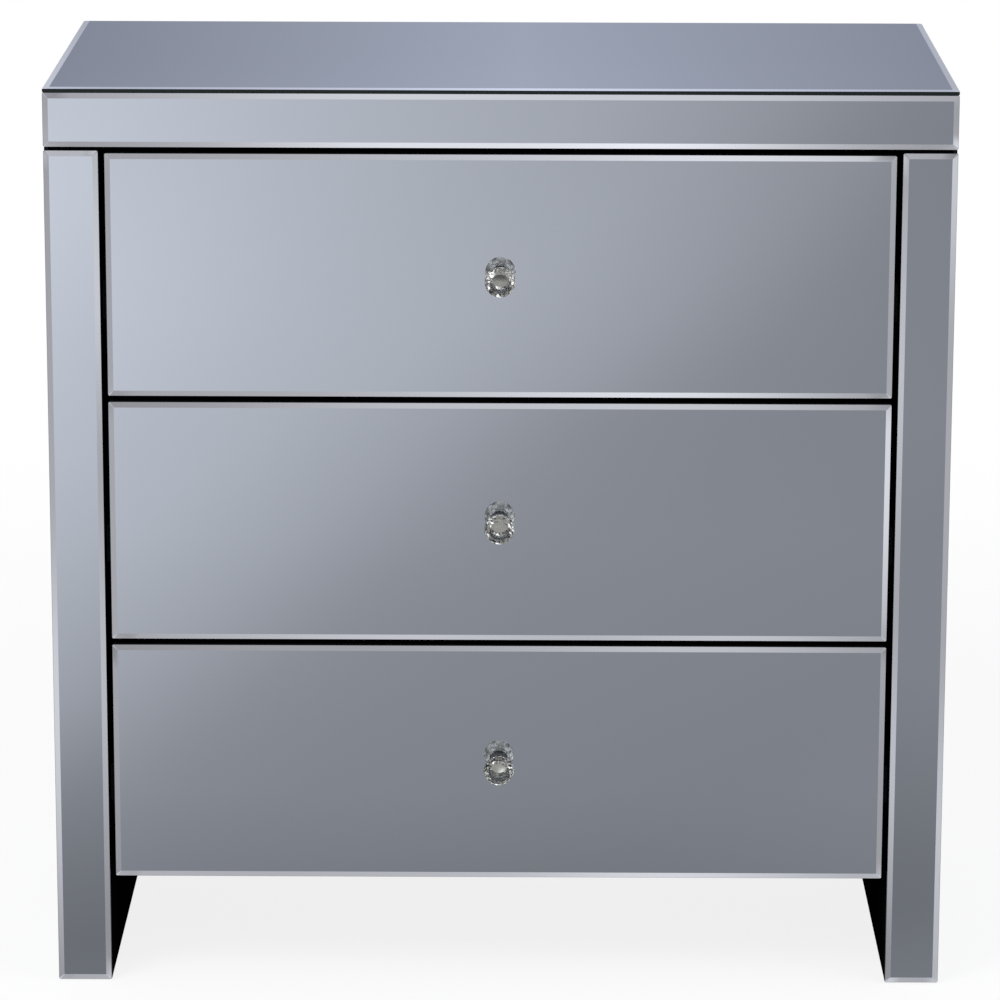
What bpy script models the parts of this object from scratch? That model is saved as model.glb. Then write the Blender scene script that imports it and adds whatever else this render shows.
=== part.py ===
"""Mirrored chest of drawers: thick slab sides and top clad in bevelled mirror, three drawers on telescopic slides.

Metres, +Z up. The origin is on the floor, at the middle of the overall width and depth with the knobs counted in.
The drawers face -Y and pull out that way.
"""

import math

import bmesh
import bpy
from mathutils import Matrix, Vector

# Overall size of the cabinet, mirrors included and knobs left out
WIDTH = 0.800
DEPTH = 0.420
HEIGHT = 0.820

# Mirror glass: each panel is ground to a flat bevel along its four front edges
GLASS = 0.004
BEVEL_WIDTH = 0.005
TOP_BEVEL_WIDTH = 0.006
BEVEL_DROP = 0.001

# Gaps: the adhesive or seating film between two fixed pieces, the reveals round the drawers, and the shadow line
SEAT = 0.0003
DRAWER_GAP = 0.0053
SHADOW_GAP = 0.003
MIRROR_LIFT = 0.001

# Cabinet boards
SLAB = 0.048
TOP_SLAB = 0.048
LEG_CLEARANCE = 0.100
BASE_BOARD = 0.016
RAIL = 0.016
RAIL_DEPTH = 0.070
BACK_PANEL = 0.004
BACK_INSET = 0.001
REBATE = 0.008
BOARD_EDGE = 0.0008

# Drawers
DRAWERS = ("top", "middle", "bottom")
FRONT_BOARD = 0.016
BOX_SIDE = 0.012
BOX_HEIGHT = 0.150
BOX_LENGTH = 0.360
BOX_LIFT = 0.022
BOTTOM_PANEL = 0.004
GROOVE_DEPTH = 0.006
GROOVE_RISE = 0.010

# Telescopic slides: three nested channels of bent steel on each side of a drawer
SLIDE_SPACE = 0.0127
SLIDE_HEIGHT = 0.035
SLIDE_LENGTH = 0.350
SLIDE_SETBACK = 0.004
SLIDE_RISE = 0.060
STEEL = 0.0012
RUNNING_GAP = 0.0004
SLIDE_LIP = 0.0008

# Knobs: a cut crystal in a turned metal cup, held by a screw from inside the drawer
KNOB_REACH = 0.034
CRYSTAL_RADIUS = 0.0135
CRYSTAL_SIDES = 16
CUP_RADIUS = 0.0086
CUP_REACH = 0.0110
ROSETTE_RADIUS = 0.0090
ROSETTE_THICKNESS = 0.0018
NECK_RADIUS = 0.0044
SCREW_RADIUS = 0.002
SCREW_CLEARANCE = 0.0004
SCREW_GRIP = 0.0065
SCREW_HEAD_RADIUS = 0.0038
SCREW_HEAD = 0.0024
TURNED_STEPS = 32

# Planes that follow from the sizes above
CLAD = GLASS + SEAT
BACK_Y = (DEPTH + KNOB_REACH) / 2
FRONT_Y = BACK_Y - DEPTH
OUTER_X = WIDTH / 2
INNER_X = OUTER_X - SLAB
TOP_UNDER_Z = HEIGHT - CLAD - TOP_SLAB
MIRROR_TOP_Z = TOP_UNDER_Z - SHADOW_GAP
FRAME_Y = FRONT_Y + CLAD
BOX_FRONT_Y = FRAME_Y + FRONT_BOARD + SEAT
PANEL_BACK_Y = BACK_Y - BACK_INSET
PANEL_Y = PANEL_BACK_Y - BACK_PANEL - SEAT
DRAWER_HEIGHT = (TOP_UNDER_Z - LEG_CLEARANCE) / len(DRAWERS) - DRAWER_GAP
FRONT_X = INNER_X - DRAWER_GAP
BOX_X = INNER_X - SLIDE_SPACE
BOX_INNER_X = BOX_X - BOX_SIDE

# How far a cutter runs past the wall that it cuts
OVERCUT = 0.01


def clear_scene():
    """Remove whatever the file held."""
    for obj in list(bpy.data.objects):
        bpy.data.objects.remove(obj, do_unlink=True)


def new_collection(name, shown=True):
    """A collection under the scene; one that isn't shown holds the cutters."""
    made = bpy.data.collections.new(name)
    made.hide_render = not shown
    bpy.context.scene.collection.children.link(made)
    return made


def finish(name, colour, roughness, metallic=0.0, transmission=0.0, ior=1.5):
    """A Principled material with one plain colour."""
    made = bpy.data.materials.new(name)
    made.use_nodes = True
    shader = made.node_tree.nodes["Principled BSDF"]
    shader.inputs["Base Color"].default_value = (*colour, 1.0)
    shader.inputs["Roughness"].default_value = roughness
    shader.inputs["Metallic"].default_value = metallic
    shader.inputs["Transmission Weight"].default_value = transmission
    shader.inputs["IOR"].default_value = ior
    return made


def mesh_object(name, shape, place, material, parent=None, smooth=False):
    """Turn a bmesh, modelled about its own origin, into a named object of the chest at its place."""
    mesh = bpy.data.meshes.new(name)
    shape.to_mesh(mesh)
    shape.free()
    mesh.materials.append(material)
    if smooth:
        mesh.shade_smooth()
        mesh.set_sharp_from_angle(angle=math.radians(30))
    obj = bpy.data.objects.new(name, mesh)
    CHEST.objects.link(obj)
    obj.location = place
    if parent is not None:
        obj.parent = parent
        obj.location = Vector(place) - parent.location
    return obj


def cube_shape(size):
    """A bmesh box of this size, centred on its origin."""
    shape = bmesh.new()
    bmesh.ops.create_cube(shape, size=1.0)
    bmesh.ops.scale(shape, vec=size, verts=shape.verts)
    return shape


def centre_and_size(low, high):
    """The middle and the size of the box between two corners."""
    return (Vector(low) + Vector(high)) / 2, Vector(high) - Vector(low)


def board(name, low, high, material, parent=None):
    """A flat board between two corners, its sharp edges eased."""
    centre, size = centre_and_size(low, high)
    obj = mesh_object(name, cube_shape(size), centre, material, parent)
    ease = obj.modifiers.new("eased_edges", "BEVEL")
    ease.width = min(BOARD_EDGE, min(size) / 4)
    ease.segments = 1
    return obj


def cutter(name, shape, place):
    """Keep a cutting shape in the cutters' collection, out of the render."""
    mesh = bpy.data.meshes.new(name)
    shape.to_mesh(mesh)
    shape.free()
    obj = bpy.data.objects.new(name, mesh)
    CUTTERS.objects.link(obj)
    obj.location = place
    obj.display_type = "WIRE"
    obj.hide_render = True
    return obj


def cut(obj, tool):
    """Take the cutter's shape out of a piece, before its edges are eased."""
    modifier = obj.modifiers.new(tool.name, "BOOLEAN")
    modifier.object = tool
    modifier.operation = "DIFFERENCE"
    modifier.solver = "EXACT"
    obj.modifiers.move(len(obj.modifiers) - 1, 0)


def cut_box(obj, low, high):
    """Cut a square-cornered recess between two corners."""
    centre, size = centre_and_size(low, high)
    cut(obj, cutter(f"{obj.name}_recess", cube_shape(size), centre))


def cut_screw_hole(obj, centre):
    """Cut the clearance hole for a knob screw, right through along Y."""
    shape = bmesh.new()
    radius = SCREW_RADIUS + SCREW_CLEARANCE
    through = FRONT_BOARD + GLASS + 2 * OVERCUT
    turn = Matrix.Rotation(math.radians(90), 4, "X")
    bmesh.ops.create_cone(
        shape, cap_ends=True, segments=TURNED_STEPS, radius1=radius, radius2=radius, depth=through, matrix=turn
    )
    cut(obj, cutter(f"{obj.name}_screw_hole", shape, centre))


def mirror_panel(name, low, high, facing, parent=None, bevel=BEVEL_WIDTH):
    """A bevelled mirror between two corners, its bright face towards facing.

    The slab of glass is as thick as its ground edge. Its front face is then drawn in and out to full thickness,
    which leaves the sloping bevel round it.
    """
    facing = Vector(facing)
    centre, size = centre_and_size(low, high)
    drop = Vector(abs(part) for part in facing) * BEVEL_DROP
    shape = cube_shape(size - drop)
    front = [face for face in shape.faces if face.normal.dot(facing) > 0.9]
    bmesh.ops.inset_region(shape, faces=front, thickness=bevel, depth=0.0, use_even_offset=True)
    bmesh.ops.translate(shape, verts=front[0].verts, vec=facing * BEVEL_DROP)
    return mesh_object(name, shape, centre - facing * BEVEL_DROP / 2, MIRROR, parent)


def turned(name, profile, centre, material, parent):
    """A piece turned about the knob's axis.

    The profile lists (radius, reach) pairs, reach being the distance out of the mirror face, from the far end of
    the axis round the outside to the near end.
    """
    shape = bmesh.new()
    points = [shape.verts.new((radius, 0.0, reach)) for radius, reach in profile]
    for start, end in zip(points, points[1:]):
        shape.edges.new((start, end))
    obj = mesh_object(name, shape, centre, material, parent)
    screw = obj.modifiers.new("turned", "SCREW")
    screw.axis = "Z"
    screw.steps = screw.render_steps = TURNED_STEPS
    screw.use_merge_vertices = True
    screw.merge_threshold = 0.00001
    screw.use_smooth_shade = False
    obj.rotation_euler = (math.radians(90), 0.0, 0.0)
    return obj


def ring(radius, reach, sides, turn):
    """Points round the knob's axis; turn is a share of one step."""
    step = math.tau / sides
    return [
        (radius * math.cos((i + turn) * step), -reach, radius * math.sin((i + turn) * step)) for i in range(sides)
    ]


def crystal(name, centre, parent):
    """The cut crystal: rings of points, each turned half a step from the last, hulled into flat facets."""
    seat = CUP_REACH + SEAT
    rise = KNOB_REACH - seat
    rings = (
        (CUP_RADIUS - 0.0008, 0.0, CRYSTAL_SIDES, 0.0),
        (CRYSTAL_RADIUS * 0.80, rise * 0.34, CRYSTAL_SIDES, 0.5),
        (CRYSTAL_RADIUS, rise * 0.63, CRYSTAL_SIDES, 0.0),
        (CRYSTAL_RADIUS * 0.985, rise * 0.72, CRYSTAL_SIDES, 0.5),
        (CRYSTAL_RADIUS * 0.82, rise * 0.90, CRYSTAL_SIDES // 2, 0.0),
        (CRYSTAL_RADIUS * 0.62, rise, CRYSTAL_SIDES // 2, 0.5),
    )
    shape = bmesh.new()
    for radius, reach, sides, turn in rings:
        for point in ring(radius, seat + reach, sides, turn):
            shape.verts.new(point)
    hull = bmesh.ops.convex_hull(shape, input=shape.verts)
    bmesh.ops.delete(shape, geom=hull["geom_interior"], context="VERTS")
    bmesh.ops.recalc_face_normals(shape, faces=shape.faces)
    return mesh_object(name, shape, centre, CRYSTAL, parent)


def channel(name, side, web, lips, half_height, start_y, centre_z, parent=None):
    """One steel channel of a slide, its outline drawn across the slide and extruded along it.

    web and lips are distances in from the side slab: of the web's back, and of the flanges' free ends.
    """
    turn = 1.0 if lips > web else -1.0
    across = [web, lips, lips, web + turn * STEEL, web + turn * STEEL, lips, lips, web]
    up = [half_height, half_height, half_height - STEEL, half_height - STEEL]
    up += [-level for level in reversed(up)]
    curve = bpy.data.curves.new(name, "CURVE")
    curve.dimensions = "2D"
    curve.fill_mode = "BOTH"
    curve.extrude = SLIDE_LENGTH / 2
    outline = curve.splines.new("POLY")
    outline.points.add(len(across) - 1)
    outline.use_cyclic_u = True
    middle = SLIDE_SPACE / 2
    for point, inward, level in zip(outline.points, across, up):
        point.co = (side * (middle - inward), level, 0.0, 1.0)
    curve.materials.append(BLACK_STEEL)
    obj = bpy.data.objects.new(name, curve)
    CHEST.objects.link(obj)
    place = Vector((side * (INNER_X - middle), start_y + SLIDE_LENGTH / 2, centre_z))
    obj.location = place
    if parent is not None:
        obj.parent = parent
        obj.location = place - parent.location
    obj.rotation_euler = (math.radians(90), 0.0, 0.0)
    return obj


def empty(name, place):
    """A parent for the pieces that move together."""
    obj = bpy.data.objects.new(name, None)
    CHEST.objects.link(obj)
    obj.location = place
    return obj


def build_slabs():
    """The two thick side slabs, which stand on the floor, and the top slab that lies on them."""
    for side, name in ((-1, "left"), (1, "right")):
        inner, outer = side * INNER_X, side * (OUTER_X - CLAD)
        low = (min(inner, outer), FRAME_Y, 0.0)
        high = (max(inner, outer), BACK_Y, TOP_UNDER_Z - SEAT)
        slab = board(f"{name}_side_slab", low, high, BLACK_BOARD)
        rebate = side * (INNER_X + REBATE)
        past = side * (INNER_X - OVERCUT)
        cut_box(
            slab,
            (min(rebate, past), PANEL_Y, LEG_CLEARANCE - SEAT),
            (max(rebate, past), BACK_Y + OVERCUT, TOP_UNDER_Z + OVERCUT),
        )
    edge = OUTER_X - CLAD
    top = board("top_slab", (-edge, FRAME_Y, TOP_UNDER_Z), (edge, BACK_Y, HEIGHT - CLAD), BLACK_BOARD)
    rebate = INNER_X + REBATE
    cut_box(
        top,
        (-rebate, PANEL_Y, TOP_UNDER_Z - OVERCUT),
        (rebate, BACK_Y + OVERCUT, TOP_UNDER_Z + REBATE),
    )


def build_inner_boards():
    """The base, the rails between the drawers and the back panel, all between the side slabs."""
    reach = INNER_X - SEAT
    board(
        "base_board",
        (-reach, BOX_FRONT_Y, LEG_CLEARANCE),
        (reach, PANEL_Y, LEG_CLEARANCE + BASE_BOARD),
        BLACK_BOARD,
    )
    for index, name in enumerate(("upper", "lower")):
        centre_z = drawer_bottom(index) - DRAWER_GAP / 2
        board(
            f"{name}_divider_rail",
            (-reach, BOX_FRONT_Y, centre_z - RAIL / 2),
            (reach, BOX_FRONT_Y + RAIL_DEPTH, centre_z + RAIL / 2),
            BLACK_BOARD,
        )
    reach = INNER_X + REBATE - SEAT
    board(
        "back_panel",
        (-reach, PANEL_Y + SEAT, LEG_CLEARANCE),
        (reach, PANEL_BACK_Y, TOP_UNDER_Z + REBATE - SEAT),
        BLACK_BOARD,
    )


def build_cabinet_mirrors():
    """The mirrors of the top, of its three shown edges, of the posts and of the two sides."""
    mirror_panel(
        "top_mirror",
        (-OUTER_X, FRONT_Y, HEIGHT - GLASS),
        (OUTER_X, BACK_Y, HEIGHT),
        (0, 0, 1),
        bevel=TOP_BEVEL_WIDTH,
    )
    mirror_panel(
        "front_fascia_mirror",
        (-OUTER_X, FRONT_Y, TOP_UNDER_Z),
        (OUTER_X, FRONT_Y + GLASS, HEIGHT - CLAD),
        (0, -1, 0),
    )
    for side, name in ((-1, "left"), (1, "right")):
        outer, behind, inner = side * OUTER_X, side * (OUTER_X - GLASS), side * INNER_X
        mirror_panel(
            f"{name}_fascia_mirror",
            (min(outer, behind), FRAME_Y, TOP_UNDER_Z),
            (max(outer, behind), BACK_Y, HEIGHT - CLAD),
            (side, 0, 0),
        )
        mirror_panel(
            f"{name}_side_mirror",
            (min(outer, behind), FRAME_Y, MIRROR_LIFT),
            (max(outer, behind), BACK_Y, MIRROR_TOP_Z),
            (side, 0, 0),
        )
        mirror_panel(
            f"{name}_post_mirror",
            (min(outer, inner), FRONT_Y, MIRROR_LIFT),
            (max(outer, inner), FRONT_Y + GLASS, MIRROR_TOP_Z),
            (0, -1, 0),
        )


def drawer_bottom(index):
    """The height of a drawer front's lower edge, counting from the top drawer down."""
    return TOP_UNDER_Z - (index + 1) * (DRAWER_HEIGHT + DRAWER_GAP)


def build_drawer_box(name, bottom_z, parent):
    """The front board, the two sides, the back and the bottom panel, which slides in grooves."""
    side_z = bottom_z + BOX_LIFT
    rim_z = side_z + BOX_HEIGHT
    panel_z = side_z + GROOVE_RISE
    panel_top_z = panel_z + BOTTOM_PANEL
    end_y = BOX_FRONT_Y + BOX_LENGTH
    groove_low_z, groove_high_z = panel_z - SEAT, panel_top_z + SEAT
    groove_x = BOX_INNER_X + GROOVE_DEPTH
    front = board(
        f"{name}_front_board",
        (-FRONT_X, FRAME_Y, bottom_z),
        (FRONT_X, FRAME_Y + FRONT_BOARD, bottom_z + DRAWER_HEIGHT),
        BLACK_BOARD,
        parent,
    )
    groove_y = FRAME_Y + FRONT_BOARD - GROOVE_DEPTH
    cut_box(front, (-groove_x, groove_y, groove_low_z), (groove_x, BOX_FRONT_Y + OVERCUT, groove_high_z))
    cut_screw_hole(front, (0.0, FRAME_Y + FRONT_BOARD / 2, bottom_z + DRAWER_HEIGHT / 2))
    for side, hand in ((-1, "left"), (1, "right")):
        outer, inner = side * BOX_X, side * BOX_INNER_X
        wall = board(
            f"{name}_{hand}_side",
            (min(outer, inner), BOX_FRONT_Y, side_z),
            (max(outer, inner), end_y, rim_z),
            BLACK_BOARD,
            parent,
        )
        deep, past = side * groove_x, side * (BOX_INNER_X - OVERCUT)
        cut_box(
            wall,
            (min(deep, past), BOX_FRONT_Y - OVERCUT, groove_low_z),
            (max(deep, past), end_y + OVERCUT, groove_high_z),
        )
    reach = BOX_INNER_X - SEAT
    board(
        f"{name}_back",
        (-reach, end_y - BOX_SIDE, panel_top_z + SEAT),
        (reach, end_y, rim_z),
        BLACK_BOARD,
        parent,
    )
    board(
        f"{name}_bottom",
        (-(groove_x - SEAT), groove_y + SEAT, panel_z),
        (groove_x - SEAT, end_y, panel_top_z),
        LINING,
        parent,
    )


def build_knob(name, centre, parent):
    """The cup, the crystal glued in it, and the screw that draws the cup against the mirror."""
    bore = SCREW_RADIUS + SCREW_CLEARANCE
    grip = SEAT + SCREW_GRIP
    neck = (ROSETTE_THICKNESS + CUP_REACH) / 2
    turned(
        f"{name}_knob_cup",
        (
            (0.0, CUP_REACH),
            (CUP_RADIUS * 0.94, CUP_REACH),
            (CUP_RADIUS, CUP_REACH * 0.93),
            (CUP_RADIUS * 0.90, CUP_REACH * 0.80),
            (NECK_RADIUS, neck),
            (NECK_RADIUS * 1.2, ROSETTE_THICKNESS * 1.5),
            (ROSETTE_RADIUS * 0.85, ROSETTE_THICKNESS),
            (ROSETTE_RADIUS, ROSETTE_THICKNESS * 0.5),
            (ROSETTE_RADIUS, SEAT),
            (bore, SEAT),
            (bore, grip),
            (0.0, grip),
        ),
        centre,
        CHROME,
        parent,
    )
    crystal(f"{name}_knob_crystal", centre, parent)
    head = -(CLAD + FRONT_BOARD + SEAT)
    turned(
        f"{name}_knob_screw",
        (
            (0.0, grip - SEAT),
            (SCREW_RADIUS, grip - SEAT),
            (SCREW_RADIUS, head),
            (SCREW_HEAD_RADIUS, head),
            (SCREW_HEAD_RADIUS * 0.9, head - SCREW_HEAD * 0.7),
            (SCREW_HEAD_RADIUS * 0.6, head - SCREW_HEAD),
            (0.0, head - SCREW_HEAD),
        ),
        centre,
        ZINC,
        parent,
    )


def build_slides(name, bottom_z, drawer, carriage):
    """The cabinet, middle and drawer channels on both sides of one drawer."""
    centre_z = bottom_z + BOX_LIFT + SLIDE_RISE
    start_y = BOX_FRONT_Y + SLIDE_SETBACK
    step = STEEL + RUNNING_GAP
    half_height = SLIDE_HEIGHT / 2
    drawer_web = SLIDE_SPACE - SEAT
    lips = drawer_web - STEEL - SLIDE_LIP
    for side, hand in ((-1, "left"), (1, "right")):
        channel(f"{name}_{hand}_cabinet_channel", side, SEAT, lips, half_height, start_y, centre_z)
        channel(
            f"{name}_{hand}_middle_channel", side, SEAT + step, lips, half_height - step, start_y, centre_z, carriage
        )
        channel(
            f"{name}_{hand}_drawer_channel",
            side,
            drawer_web,
            SEAT + 2 * step,
            half_height - 2 * step,
            start_y,
            centre_z,
            drawer,
        )


def build_drawer(index, name):
    """One drawer with its mirror, knob and slides, on an empty at the middle of its front."""
    bottom_z = drawer_bottom(index)
    middle = Vector((0.0, FRONT_Y, bottom_z + DRAWER_HEIGHT / 2))
    drawer = empty(name, middle)
    carriage = empty(f"{name}_slide_carriage", middle)
    build_drawer_box(name, bottom_z, drawer)
    panel = mirror_panel(
        f"{name}_mirror",
        (-FRONT_X, FRONT_Y, bottom_z),
        (FRONT_X, FRONT_Y + GLASS, bottom_z + DRAWER_HEIGHT),
        (0, -1, 0),
        drawer,
    )
    cut_screw_hole(panel, middle)
    build_knob(name, middle, drawer)
    build_slides(name, bottom_z, drawer, carriage)


def main():
    """Build the cabinet, then its drawers from the top down."""
    build_slabs()
    build_inner_boards()
    build_cabinet_mirrors()
    for index, name in enumerate(DRAWERS):
        build_drawer(index, f"{name}_drawer")


clear_scene()
CHEST = new_collection("mirrored_chest_of_drawers")
CUTTERS = new_collection("cutters", shown=False)
MIRROR = finish("silvered_mirror", (0.62, 0.65, 0.72), 0.03, metallic=1.0)
BLACK_BOARD = finish("black_painted_board", (0.012, 0.013, 0.016), 0.45)
LINING = finish("black_lined_panel", (0.02, 0.02, 0.022), 0.85)
BLACK_STEEL = finish("black_coated_steel", (0.015, 0.015, 0.017), 0.45)
ZINC = finish("zinc_plated_steel", (0.62, 0.63, 0.64), 0.30, metallic=1.0)
CHROME = finish("polished_chrome", (0.78, 0.79, 0.80), 0.06, metallic=1.0)
CRYSTAL = finish("cut_crystal", (0.97, 0.98, 0.98), 0.0, transmission=1.0, ior=1.55)
main()
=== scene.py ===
"""Looks of the mirrored chest of drawers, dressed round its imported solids.

Bevelled mirrors, cut-crystal knobs, black boards and black-coated slides, in metres, with +Z up and the
drawers facing -Y. Sizes that belong to the solids are read from the frame; the rest are the fields of each
class.
"""

import functools
import logging
import math
from dataclasses import dataclass
from enum import Enum
from typing import Any, Callable, Optional, Sequence, Union

import bpy
import numpy as np
from mathutils import Euler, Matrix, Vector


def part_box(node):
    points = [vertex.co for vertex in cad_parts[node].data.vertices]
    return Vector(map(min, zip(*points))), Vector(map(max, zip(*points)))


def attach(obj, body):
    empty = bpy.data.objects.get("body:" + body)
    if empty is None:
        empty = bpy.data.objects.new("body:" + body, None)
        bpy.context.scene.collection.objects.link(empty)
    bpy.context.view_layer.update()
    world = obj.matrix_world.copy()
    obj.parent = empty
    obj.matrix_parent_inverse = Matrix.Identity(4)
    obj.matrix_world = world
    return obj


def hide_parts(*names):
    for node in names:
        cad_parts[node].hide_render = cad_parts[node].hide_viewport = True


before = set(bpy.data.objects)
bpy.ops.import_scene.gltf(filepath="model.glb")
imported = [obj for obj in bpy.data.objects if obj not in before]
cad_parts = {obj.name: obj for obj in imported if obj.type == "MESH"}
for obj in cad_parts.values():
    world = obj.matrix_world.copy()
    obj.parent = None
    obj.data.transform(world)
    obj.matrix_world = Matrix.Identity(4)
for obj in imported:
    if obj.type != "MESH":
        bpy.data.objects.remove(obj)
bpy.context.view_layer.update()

LOG = logging.getLogger("chest")
MM = 0.001
TURN = 2.0 * math.pi
BLENDED = 2  # which output of a Mix node is its colour
WHITE = (1.0, 1.0, 1.0, 1.0)

Array = np.ndarray
Faces = list[list[int]]
Tree = bpy.types.NodeTree
Node = bpy.types.Node
Socket = bpy.types.NodeSocket
Material = bpy.types.Material
Codes = tuple[str, ...]
Numbers = tuple[float, ...]
Triple = tuple[float, float, float]
Colour = tuple[float, float, float, float]
Settings = tuple[tuple[str, float], ...]


def linear(code: str) -> Colour:
    """Turns an sRGB hex colour into the linear values that shaders take.

    Args:
        code: the colour as #RRGGBB.

    Returns:
        Linear red, green and blue, and an alpha of 1.
    """
    coded = [int(code[place : place + 2], 16) / 255.0 for place in (1, 3, 5)]
    red, green, blue = (c / 12.92 if c <= 0.04045 else ((c + 0.055) / 1.055) ** 2.4 for c in coded)
    return (red, green, blue, 1.0)


def grey(value: float) -> Colour:
    """An opaque grey of a linear value."""
    return (value, value, value, 1.0)


def feed(tree: Tree, socket: Socket, value: Any) -> None:
    """Fills an input socket.

    Args:
        tree: the node tree that it is in.
        socket: the input.
        value: a plain value, another node's output, or a node whose first output it takes.
    """
    if isinstance(value, Node):
        value = value.outputs[0]
    if isinstance(value, Socket):
        tree.links.new(value, socket)
    else:
        socket.default_value = value


def add(tree: Tree, kind: str, sockets: Optional[dict[Any, Any]] = None, **settings: Any) -> Any:
    """Adds a shader node, sets its properties, and fills or links its input sockets.

    Args:
        tree: the node tree that it joins.
        kind: the node's type without its first word, ShaderNode.
        sockets: input name or number, with what feeds it.
        settings: the node's own properties.

    Returns:
        The new node.
    """
    node = tree.nodes.new(f"ShaderNode{kind}")
    for key, value in settings.items():
        setattr(node, key, value)
    for key, value in (sockets or {}).items():
        feed(tree, node.inputs[key], value)
    return node


def set_stops(node: Node, stops: Sequence[tuple[float, Colour]]) -> Node:
    """Gives a colour ramp's new node, which comes with two stops, these instead.

    Args:
        node: the node.
        stops: place from 0 to 1 and RGBA colour, in rising order.

    Returns:
        The same node.
    """
    elements = node.color_ramp.elements
    while len(elements) < len(stops):
        elements.new(0.5)
    for element, (place, _) in zip(elements, stops):
        element.position = place
    for element, (place, colour) in zip(elements, stops):
        element.position = place
        element.color = colour
    return node


class Slot(Enum):
    """The record's material slots, one named for each new piece; mesh_piece takes it but doesn't use it."""

    MIRROR = "silvered_mirror"
    BOARD = "black_painted_board"
    BLACK_STEEL = "black_coated_steel"
    ZINC = "zinc_plated_steel"
    CHROME = "polished_chrome"
    CRYSTAL = "cut_crystal"


class Facing(Enum):
    """The side that a panel's face looks to, as its across, up and outward directions."""

    FRONT = ((1, 0, 0), (0, 0, 1), (0, -1, 0))
    BACK = ((-1, 0, 0), (0, 0, 1), (0, 1, 0))
    LEFT = ((0, -1, 0), (0, 0, 1), (-1, 0, 0))
    RIGHT = ((0, 1, 0), (0, 0, 1), (1, 0, 0))
    TOP = ((1, 0, 0), (0, 1, 0), (0, 0, 1))

    def place(self, local: Array, origin: Sequence[float]) -> Array:
        """Carries points from a panel's own axes into the frame.

        Args:
            local: points as across, up and out of the face, (..., 3).
            origin: the point of the frame that is local zero.

        Returns:
            The points in the frame, (n, 3).
        """
        return local.reshape(-1, 3) @ np.array(self.value, float) + np.array(origin, float)


@dataclass(frozen=True)
class Noise:
    """A noise over the object, drawn at one size or at one for each of x, y and z.

    Its values from low to high are spread over 0 to 1, by a soft step where soft is set. Another noise may
    multiply it before that.
    """

    size_mm: Union[float, Triple]
    detail: float = 2.0
    low: float = 0.0
    high: float = 1.0
    soft: bool = False
    times: Optional["Noise"] = None

    def build(self, tree: Tree) -> Node:
        """Adds the noise to a material.

        Args:
            tree: the material's node tree.

        Returns:
            The node that gives its value, from 0 to 1.
        """
        place = add(tree, "TexCoord").outputs["Object"]
        scale = tuple(1.0 / (size * MM) for size in np.broadcast_to(self.size_mm, 3))
        drawn = add(tree, "Mapping", {"Vector": place, "Scale": scale})
        value = add(tree, "TexNoise", {"Vector": drawn, "Scale": 1.0, "Detail": self.detail})
        if self.times is not None:
            value = add(tree, "Math", {0: value, 1: self.times.build(tree)}, operation="MULTIPLY")
        if (self.low, self.high) == (0.0, 1.0):
            return value
        spread = {"Value": value, "From Min": self.low, "From Max": self.high}
        return add(tree, "MapRange", spread, interpolation_type="SMOOTHSTEP" if self.soft else "LINEAR")


@dataclass(frozen=True)
class Finish:
    """What a surface is made of: a Principled shader with up to three noises.

    The tone noise blends its two colours, the sheen noise its two roughnesses, and the relief noise raises
    it by up to relief_mm. A single colour or roughness is the same all over. Further settings go by the
    shader's own socket names.
    """

    name: str = ""
    colours: Codes = ()
    roughness: Numbers = ()
    tone: Optional[Noise] = None
    sheen: Optional[Noise] = None
    relief: Optional[Noise] = None
    relief_mm: float = 0.0
    relief_strength: float = 1.0
    settings: Settings = ()

    def colour(self, tree: Tree) -> Any:
        """The colour, as one value or as the output that blends two."""
        if self.tone is None:
            return linear(self.colours[0])
        return self.blend(tree, self.tone.build(tree))

    def blend(self, tree: Tree, share: Node) -> Socket:
        """Mixes the finish's two colours.

        Args:
            tree: the material's node tree.
            share: gives the second colour's share.

        Returns:
            The output with the mixed colour.
        """
        first, second = (linear(code) for code in self.colours)
        blend = {"Factor": share, "A": first, "B": second}
        return add(tree, "Mix", blend, data_type="RGBA").outputs[BLENDED]

    def height(self, tree: Tree) -> Optional[Node]:
        """The height of the relief, or none for a smooth surface."""
        return self.relief.build(tree) if self.relief is not None else None

    def facing(self, tree: Tree) -> dict[str, Node]:
        """What turns the surface before its relief does: nothing, unless a finish says so."""
        return {}

    def material(self) -> Material:
        """Builds the finish as a material.

        Returns:
            The material.
        """
        material = bpy.data.materials.new(self.name)
        material.use_nodes = True
        tree = material.node_tree
        inputs = {"Base Color": self.colour(tree), "Roughness": self.roughness[0], **dict(self.settings)}
        if self.sheen is not None:
            low, high = self.roughness
            gleam = {"Value": self.sheen.build(tree), "To Min": low, "To Max": high}
            inputs["Roughness"] = add(tree, "MapRange", gleam)
        height = self.height(tree)
        if height is not None:
            bump = {"Height": height, "Distance": self.relief_mm * MM, "Strength": self.relief_strength}
            inputs["Normal"] = add(tree, "Bump", {**bump, **self.facing(tree)})
        shader = tree.nodes["Principled BSDF"]
        for key, value in inputs.items():
            feed(tree, shader.inputs[key], value)
        return material


METAL: Settings = (("Metallic", 1.0),)
DULL_GLOSS: Settings = (("Specular IOR Level", 0.3),)


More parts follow.
